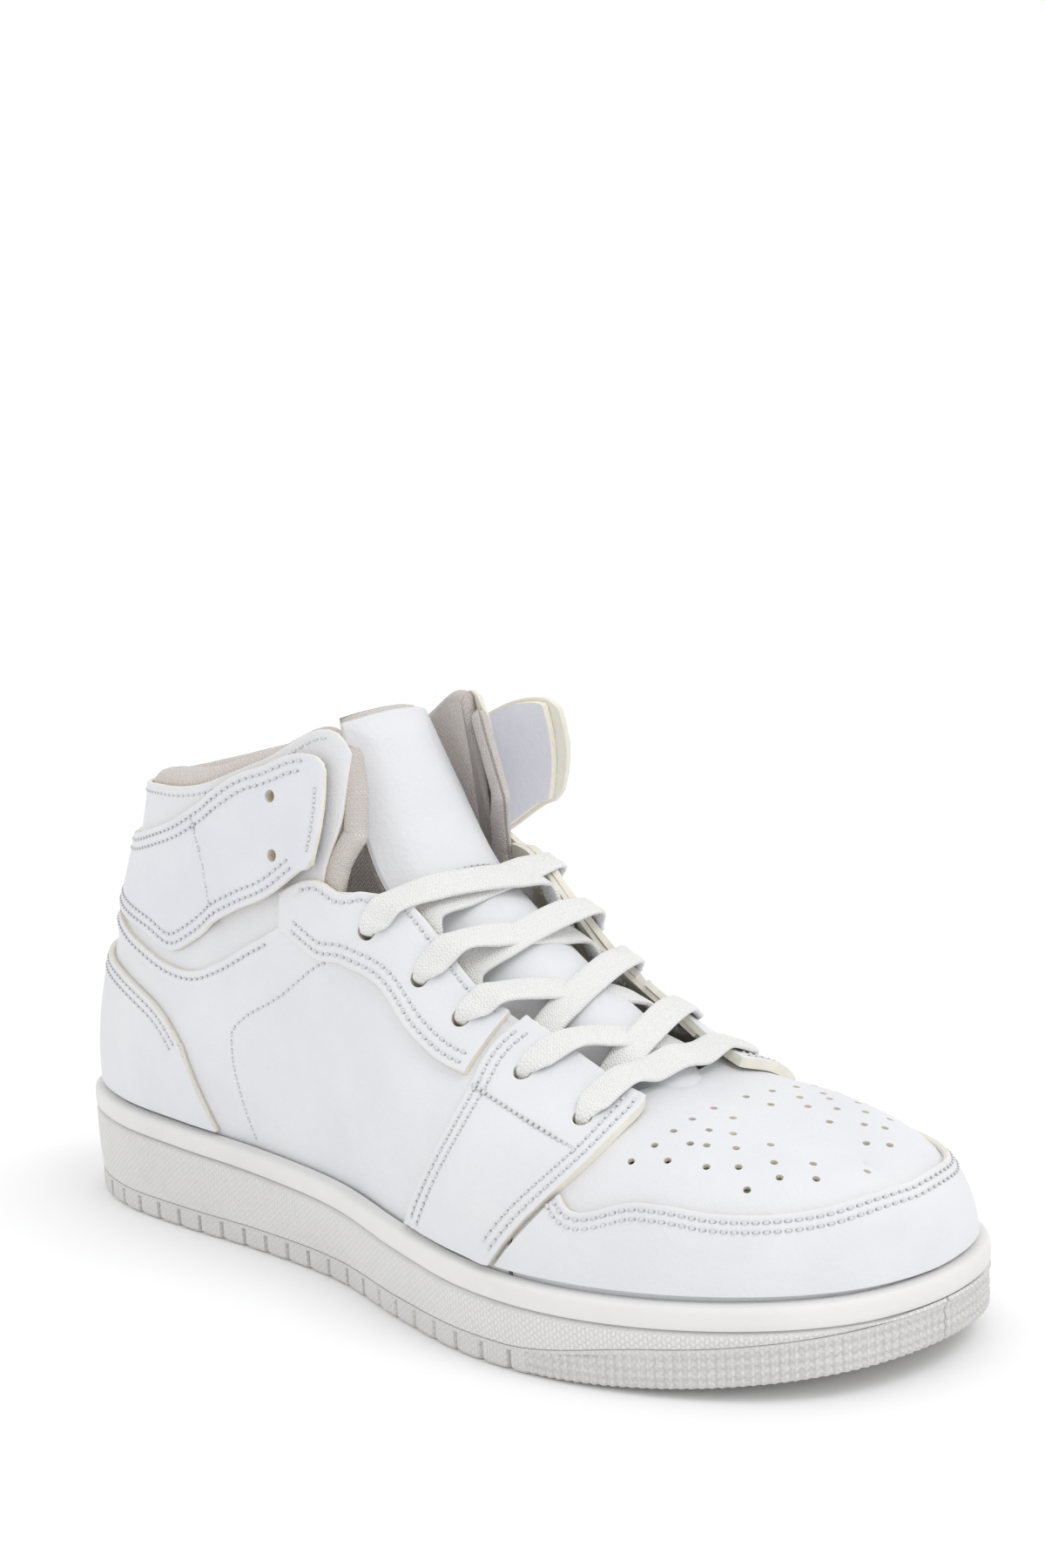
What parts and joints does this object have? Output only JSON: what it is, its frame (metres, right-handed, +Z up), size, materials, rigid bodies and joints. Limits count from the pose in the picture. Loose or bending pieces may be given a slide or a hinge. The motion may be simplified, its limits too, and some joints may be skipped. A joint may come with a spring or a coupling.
{
  "type": "basketball high top",
  "caption": "High-top sports shoe for the right foot: layered leather upper on a cup sole, laced throat, padded collar and free ankle strap tabs that hinge out.",
  "frame": {"origin": "centre of the bounding box at the ground, under the sole", "axes": "+Z up; +Y towards the heel, so the toe points to -Y; +X towards the medial side of this right shoe, so -X is its lateral side"},
  "size_m": [0.1106, 0.3, 0.1495],
  "materials": {
    "white_leather": "fine-grained, satin",
    "sole_rubber": "matt, fine woven texture",
    "knit_lining": "ribbed knit",
    "felt_padding": "soft foam and felt",
    "stiffener": "matt",
    "midsole_foam": "matt foam",
    "insole_board": "matt fibre board",
    "lace": "flat weave",
    "aglet": "gloss"
  },
  "bodies": {
    "shoe": {"ankle_wrap": "white_leather", "collar_foam": "felt_padding", "collar_lining": "knit_lining", "heel_counter": "stiffener", "heel_overlay": "white_leather", "insole_board": "insole_board", "lace": "lace", "lateral_aglet": "aglet", "lateral_collar_panel": "white_leather", "lateral_eyestay": "white_leather", "lateral_quarter": "white_leather", "lateral_quarter_lining": "knit_lining", "lateral_saddle": "white_leather", "medial_aglet": "aglet", "medial_collar_panel": "white_leather", "medial_eyestay": "white_leather", "medial_quarter": "white_leather", "medial_quarter_lining": "knit_lining", "medial_saddle": "white_leather", "midsole_cup": "sole_rubber", "midsole_foam": "midsole_foam", "mudguard": "white_leather", "outsole": "sole_rubber", "sockliner": "knit_lining", "toe_puff": "stiffener", "tongue_face": "white_leather", "tongue_foam": "felt_padding", "tongue_lining": "knit_lining", "vamp": "white_leather", "vamp_lining": "knit_lining"},
    "lateral_strap_tab": {"lateral_strap": "white_leather", "lateral_strap_backing": "felt_padding"},
    "medial_strap_tab": {"medial_strap": "white_leather", "medial_strap_backing": "felt_padding"},
    "tongue_top": {"tongue_top_face": "white_leather", "tongue_top_foam": "felt_padding", "tongue_top_lining": "knit_lining"}
  },
  "joints": [
    {"name": "lateral_strap_swing", "type": "hinge", "parent": "shoe", "child": "lateral_strap_tab", "pos_m": [-0.0364, 0.0615, 0.1095], "axis": [-0.034, -0.353, -0.935], "range_deg": [0, 70], "stiffness_Nm_per_rad": 0.01},
    {"name": "medial_strap_swing", "type": "hinge", "parent": "shoe", "child": "medial_strap_tab", "pos_m": [0.04, 0.0617, 0.1094], "axis": [0.0145, 0.352, 0.9359], "range_deg": [0, 70], "stiffness_Nm_per_rad": 0.01},
    {"name": "tongue_tilt", "type": "hinge", "parent": "shoe", "child": "tongue_top", "pos_m": [0.00232, 0.00443, 0.11085], "axis": [1, 0, 0], "range_deg": [-3, 60], "stiffness_Nm_per_rad": 0.03}
  ]
}
